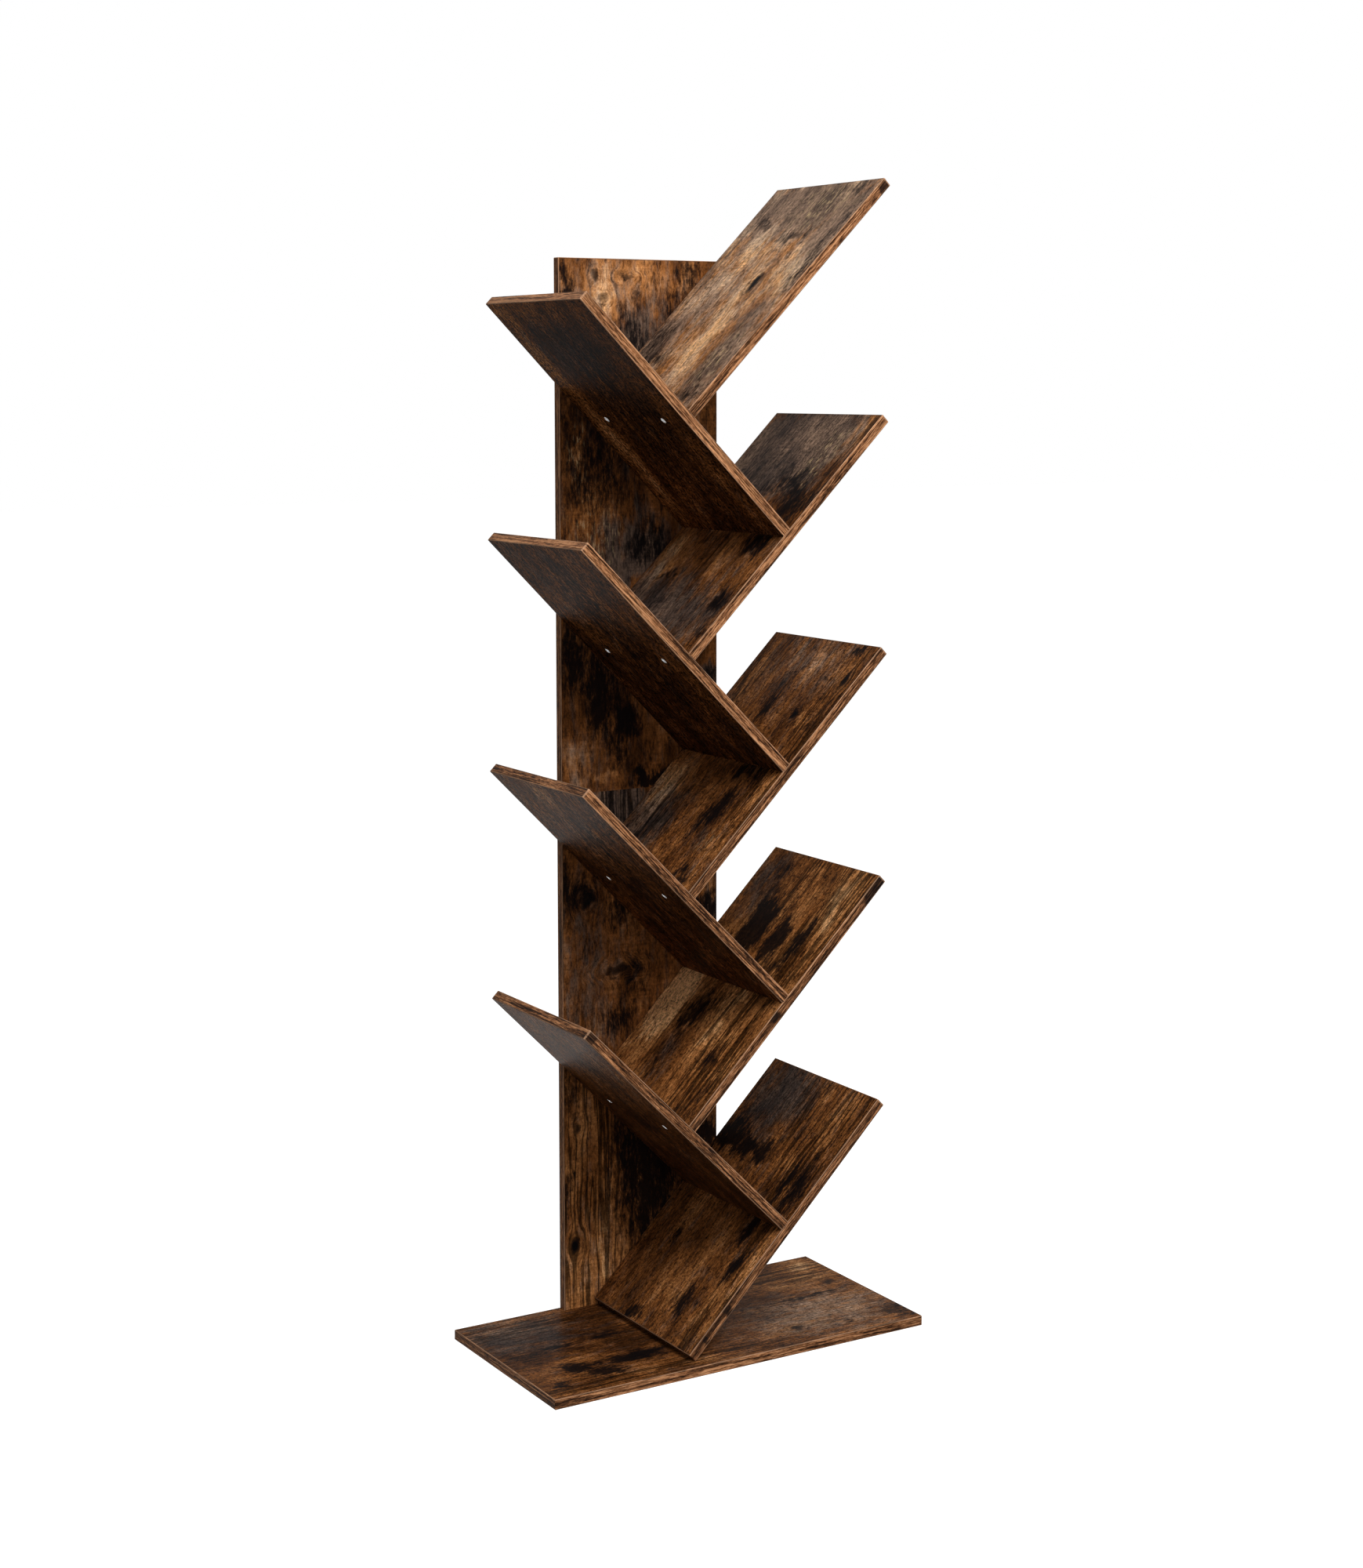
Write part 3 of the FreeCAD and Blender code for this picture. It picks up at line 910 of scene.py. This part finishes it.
def make_screw():
    """A countersunk wood screw with its head at the origin and its point up."""
    bpy.ops.object.select_all(action="DESELECT")
    bpy.ops.mesh.primitive_cylinder_add(
        vertices=HEAD_SIDES, radius=HEAD_RADIUS, depth=HEAD_RIM, location=(0, 0, HEAD_RIM / 2)
    )
    screw = bpy.context.object
    bpy.ops.object.transform_apply(location=True, rotation=True, scale=True)
    start_edit(screw, lambda middle, normal: normal.z > 0.5)
    height, radius = HEAD_RIM, HEAD_RADIUS
    for next_height, next_radius in (
        (HEAD_HEIGHT, SHANK_RADIUS),
        (THREAD_START, SHANK_RADIUS),
        (THREAD_START + SHANK_STEP, ROOT_RADIUS),
        (SCREW_LENGTH - POINT_LENGTH, ROOT_RADIUS),
        (SCREW_LENGTH, POINT_RADIUS),
    ):
        pull_out(next_height - height, next_radius / radius)
        height, radius = next_height, next_radius
    end_edit()
    start_edit(screw, lambda middle, normal: normal.z < -0.5)
    bpy.ops.mesh.bevel(offset=RIM_ROUNDING, segments=2, affect="EDGES")
    end_edit()
    # the face of the head is slightly raised, and its middle comes up to the board's surface
    start_edit(screw, lambda middle, normal: normal.z < -0.99)
    for rise, share in FACE_STEPS:
        pull_out(-rise, share)
    end_edit()
    combine(screw, make_thread(), "UNION")
    combine(screw, make_recess(), "DIFFERENCE")
    bpy.ops.object.select_all(action="DESELECT")
    screw.select_set(True)
    bpy.ops.object.shade_smooth_by_angle(angle=SMOOTH_BELOW)
    wear(screw, zinc())
    return screw


def drive_screws(model, node, places):
    """Puts a copy of the screw at each place, given as its head's middle and its direction."""
    name = node.replace("_screws", "_wood_screws")
    bpy.ops.object.select_all(action="DESELECT")
    for number, (head, direction) in enumerate(places):
        copy = bpy.data.objects.new(name, model.data.copy())
        bpy.context.scene.collection.objects.link(copy)
        turn = direction.to_track_quat("Z", "Y").to_matrix().to_4x4()
        turn = turn @ Matrix.Rotation(number * TURN_FROM_SCREW_TO_SCREW, 4, "Z")
        copy.matrix_world = Matrix.Translation(head) @ turn @ Matrix.Scale(MM, 4)
        copy.select_set(True)
        bpy.context.view_layer.objects.active = copy
    bpy.ops.object.join()
    group = bpy.context.object
    group.name = name
    bpy.ops.object.transform_apply(location=True, rotation=True, scale=True)
    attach(group, "root")
    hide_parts(node)


def joint_places(names, out, sign):
    """The two screws through each of these shelves into the foot of the shelf that it carries."""
    places = []
    for board in (boards[name] for name in names):
        for across in (-JOINT_SCREW_ACROSS, JOINT_SCREW_ACROSS):
            places.append((board.spot(JOINT_SCREW_ALONG, across, out), board.axes[2] * sign))
    return places


def panel_places():
    """Two screws from behind the panel into the back edge of every shelf."""
    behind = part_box("lower_back_panel")[1].y - HEAD_SINK * MM
    places = []
    for board in (boards[name] for name in RIGHT_SHELVES + LEFT_SHELVES):
        for along in PANEL_SCREWS_ALONG:
            spot = board.spot(along, 0, -BOARD_THICKNESS / 2)
            places.append((Vector((spot.x, behind, spot.z)), Vector((0, -1, 0))))
    return places


def foot_places():
    """Three screws from under the base into the foot of the panel."""
    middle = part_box("lower_back_panel")[1].y - BOARD_THICKNESS / 2 * MM
    places = []
    for step in (-1, 0, 1):
        spot = Vector((FOOT_SCREW_SPACING * MM * step, middle, HEAD_SINK * MM))
        places.append((spot, Vector((0, 0, 1))))
    return places


under_right_shelves = HEAD_SINK - BOARD_THICKNESS
model_screw = make_screw()
drive_screws(model_screw, "left_shelf_screws", joint_places(LEFT_SHELVES, -HEAD_SINK, -1))
drive_screws(
    model_screw, "right_shelf_screws", joint_places(RIGHT_SHELVES[:4], under_right_shelves, 1)
)
drive_screws(model_screw, "back_panel_screws", panel_places())
drive_screws(model_screw, "foot_screws", foot_places())
bpy.data.objects.remove(model_screw)


# Floor, light and camera

WHITE = (1, 1, 1, 1)
FLOOR_SIZE = 40.0
FLOOR_AS_LIGHT = (0.2, 0.2, 0.2, 1)
FLOOR_IN_SHADOW = (0.4, 0.4, 0.4, 1)
FLOOR_GLOW = 0.93
STUDIO_LIGHT = 0.25
OBJECT_MIDDLE = (0, 0, 0.7)

PHOTO_HEIGHT = 2000.0
FOCAL_LENGTH_IN_PIXELS = 3313.56
CAMERA_PLACE = (-1557.39, -2555.33, 1125.15)
CAMERA_YAW, CAMERA_PITCH, CAMERA_ROLL = 0.5443, 0.1059, -0.0012
LENS_SHIFT = -0.08
SENSOR_SIZE = 36.0


def pale_floor():
    """White where it is seen, but for a soft shadow, and a darker studio floor to the light."""
    finish = Finish(bpy.data.materials.new("pale_floor"))
    dim = finish.node("ShaderNodeBsdfDiffuse", None, {"Color": FLOOR_AS_LIGHT})
    pale = finish.node("ShaderNodeBsdfDiffuse", None, {"Color": FLOOR_IN_SHADOW})
    glow = finish.node("ShaderNodeEmission", None, {"Color": WHITE, "Strength": FLOOR_GLOW})
    shown = finish.node("ShaderNodeAddShader", None, {0: pale, 1: glow})
    mixed = finish.node("ShaderNodeMixShader", None, {0: finish.seen(), 1: dim, 2: shown})
    finish.node("ShaderNodeOutputMaterial", None, {"Surface": mixed})
    return finish.owner


def make_floor():
    bpy.ops.object.select_all(action="DESELECT")
    bpy.ops.mesh.primitive_plane_add(size=FLOOR_SIZE, location=(0, 0, 0))
    floor = bpy.context.object
    floor.name = "floor"
    floor.data.materials.append(pale_floor())


def make_world():
    """White where it is seen, and a dim studio as a source of light."""
    finish = Finish(bpy.data.worlds.new("studio"))
    strength = finish.seen() * (1.0 - STUDIO_LIGHT) + STUDIO_LIGHT
    light = finish.node("ShaderNodeBackground", None, {"Color": WHITE, "Strength": strength})
    finish.node("ShaderNodeOutputWorld", None, {"Surface": light})
    bpy.context.scene.world = finish.owner


def make_lamp(name, place, size, power):
    """A round lamp that points at the middle of the object."""
    lamp = bpy.data.lights.new(name, "AREA")
    lamp.shape = "DISK"
    lamp.size = size
    lamp.energy = power
    holder = bpy.data.objects.new(name, lamp)
    bpy.context.scene.collection.objects.link(holder)
    holder.location = place
    ahead = Vector(OBJECT_MIDDLE) - Vector(place)
    holder.rotation_euler = ahead.to_track_quat("-Z", "Y").to_euler()


def make_camera():
    """The photograph's viewpoint, worked out from the corners of the boards in it."""
    lens = bpy.data.cameras.new("camera")
    lens.sensor_width = SENSOR_SIZE
    lens.lens = FOCAL_LENGTH_IN_PIXELS / PHOTO_HEIGHT * SENSOR_SIZE
    lens.shift_y = LENS_SHIFT
    lens.clip_end = 100.0
    camera = bpy.data.objects.new("camera", lens)
    bpy.context.scene.collection.objects.link(camera)
    camera.location = Vector(CAMERA_PLACE) * MM
    level = math.cos(CAMERA_PITCH)
    ahead = Vector((
        math.sin(CAMERA_YAW) * level, math.cos(CAMERA_YAW) * level, -math.sin(CAMERA_PITCH)
    ))
    turn = ahead.to_track_quat("-Z", "Y").to_matrix() @ Matrix.Rotation(CAMERA_ROLL, 3, "Z")
    camera.rotation_euler = turn.to_euler()
    bpy.context.scene.camera = camera


make_floor()
make_world()
make_lamp("key_lamp", place=(-0.4, -2.6, 3.4), size=2.2, power=150.0)
make_lamp("front_lamp", place=(-0.6, -3.4, 1.0), size=1.6, power=28.0)
make_camera()

bpy.context.scene.view_settings.view_transform = "Standard"
